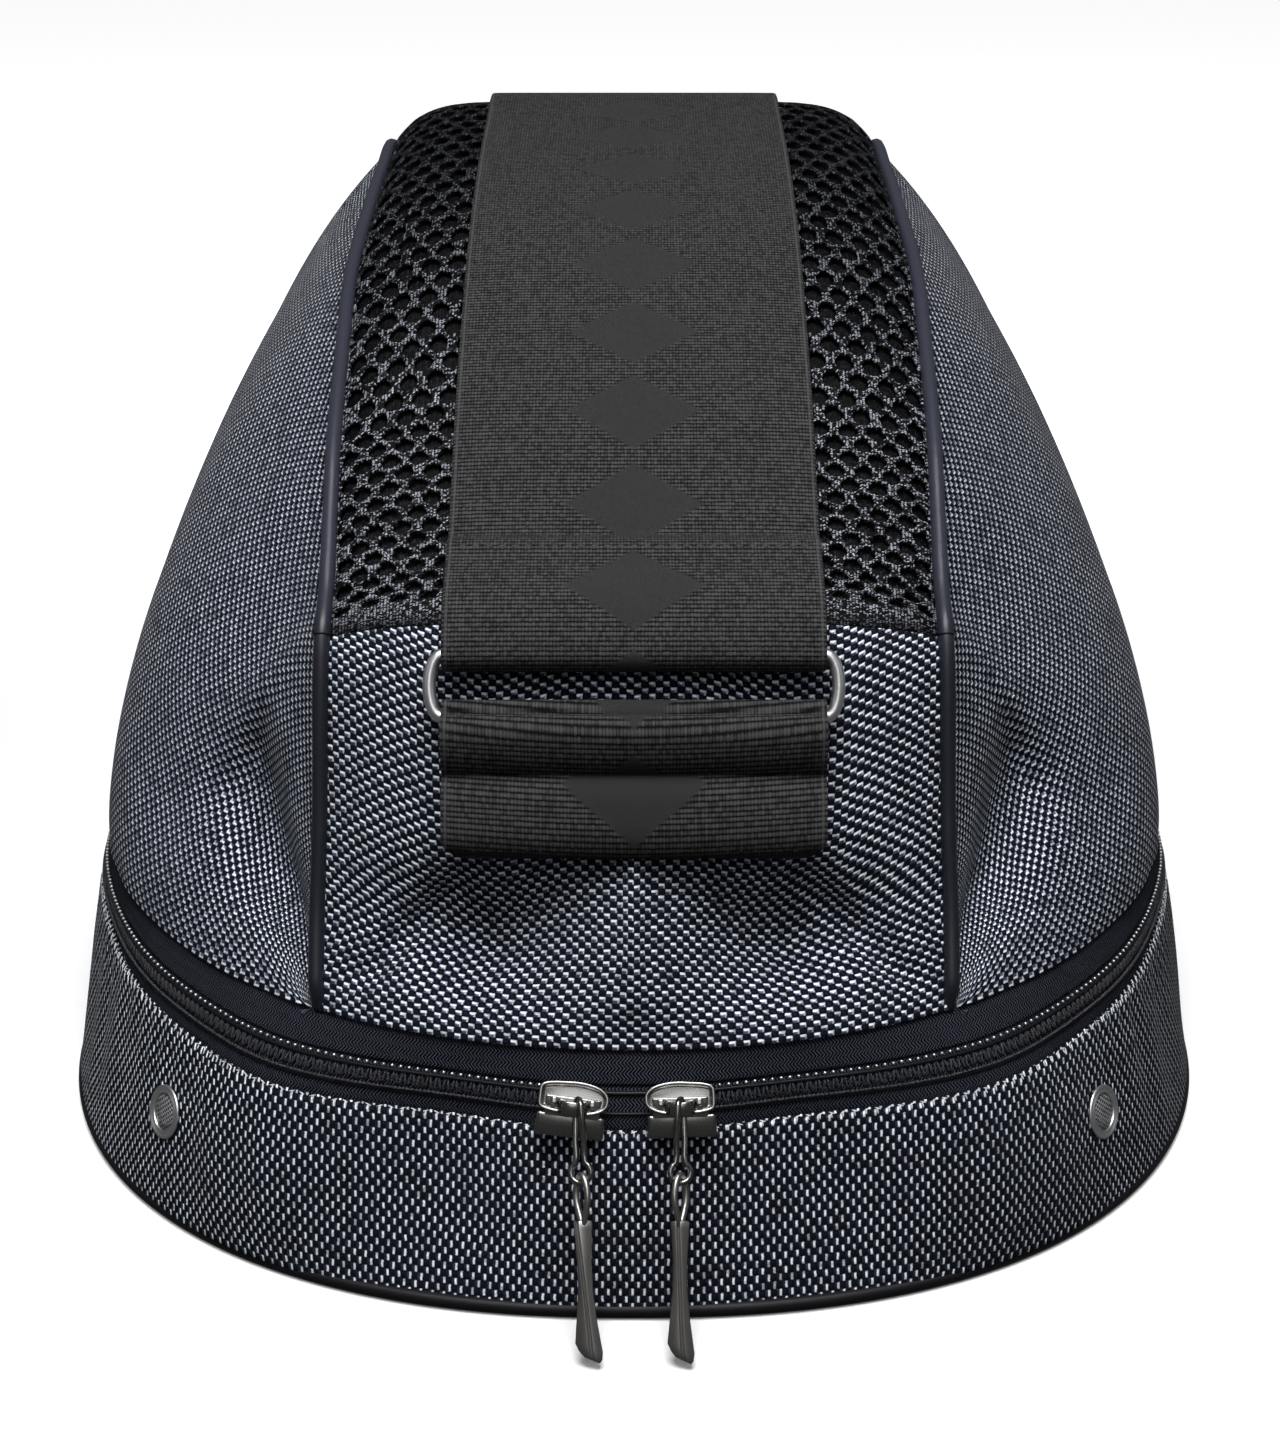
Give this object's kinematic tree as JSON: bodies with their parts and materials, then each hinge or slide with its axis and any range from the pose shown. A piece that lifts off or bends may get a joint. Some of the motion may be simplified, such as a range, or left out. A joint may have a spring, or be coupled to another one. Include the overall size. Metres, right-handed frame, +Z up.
{
  "type": "helmet bag",
  "caption": "Domed zipped carry bag for a helmet, with a low stiff base, woven side panels, a mesh top and a wide elastic strap running over it to a metal ring",
  "frame": {"origin": "middle of the footprint, on the surface the bag stands on", "axes": "+Z up, +X to the right seen from the front, the zip pulls and the strap's ring face -Y"},
  "size_m": [0.2614, 0.3488, 0.2059],
  "materials": {
    "nylon": "dark navy ballistic nylon, coarse basket weave with pale glinting yarns",
    "spacer_mesh": "black knitted spacer mesh with rows of rounded holes",
    "elastic": "charcoal ribbed elastic webbing, matt",
    "piping": "satin plastic piping, dark navy",
    "zip_tape": "black herringbone zip tape",
    "zip_coil": "black nylon zip coil, semi-gloss",
    "gunmetal": "dark polished gunmetal plating",
    "nickel": "polished nickel plating"
  },
  "bodies": {
    "root": {"base_panel": "nylon", "base_piping": "piping", "base_band": "nylon", "front_panel": "nylon", "top_mesh_panel": "spacer_mesh", "back_panel": "nylon", "zip_tape_upper": "zip_tape", "zip_tape_lower": "zip_tape", "zip_coil": "zip_coil", "side_panel_left": "nylon", "side_panel_right": "nylon", "panel_piping_left": "piping", "panel_piping_right": "piping", "eyelet_ring_left": "nickel", "eyelet_ring_right": "nickel", "eyelet_mesh_left": "gunmetal", "eyelet_mesh_right": "gunmetal", "strap": "elastic", "strap_anchor": "elastic", "strap_ring": "nickel", "slider_left": "gunmetal", "slider_right": "gunmetal", "pull_bail_left": "gunmetal", "pull_bail_right": "gunmetal", "pull_tab_left": "gunmetal", "pull_tab_right": "gunmetal"}
  },
  "joints": []
}
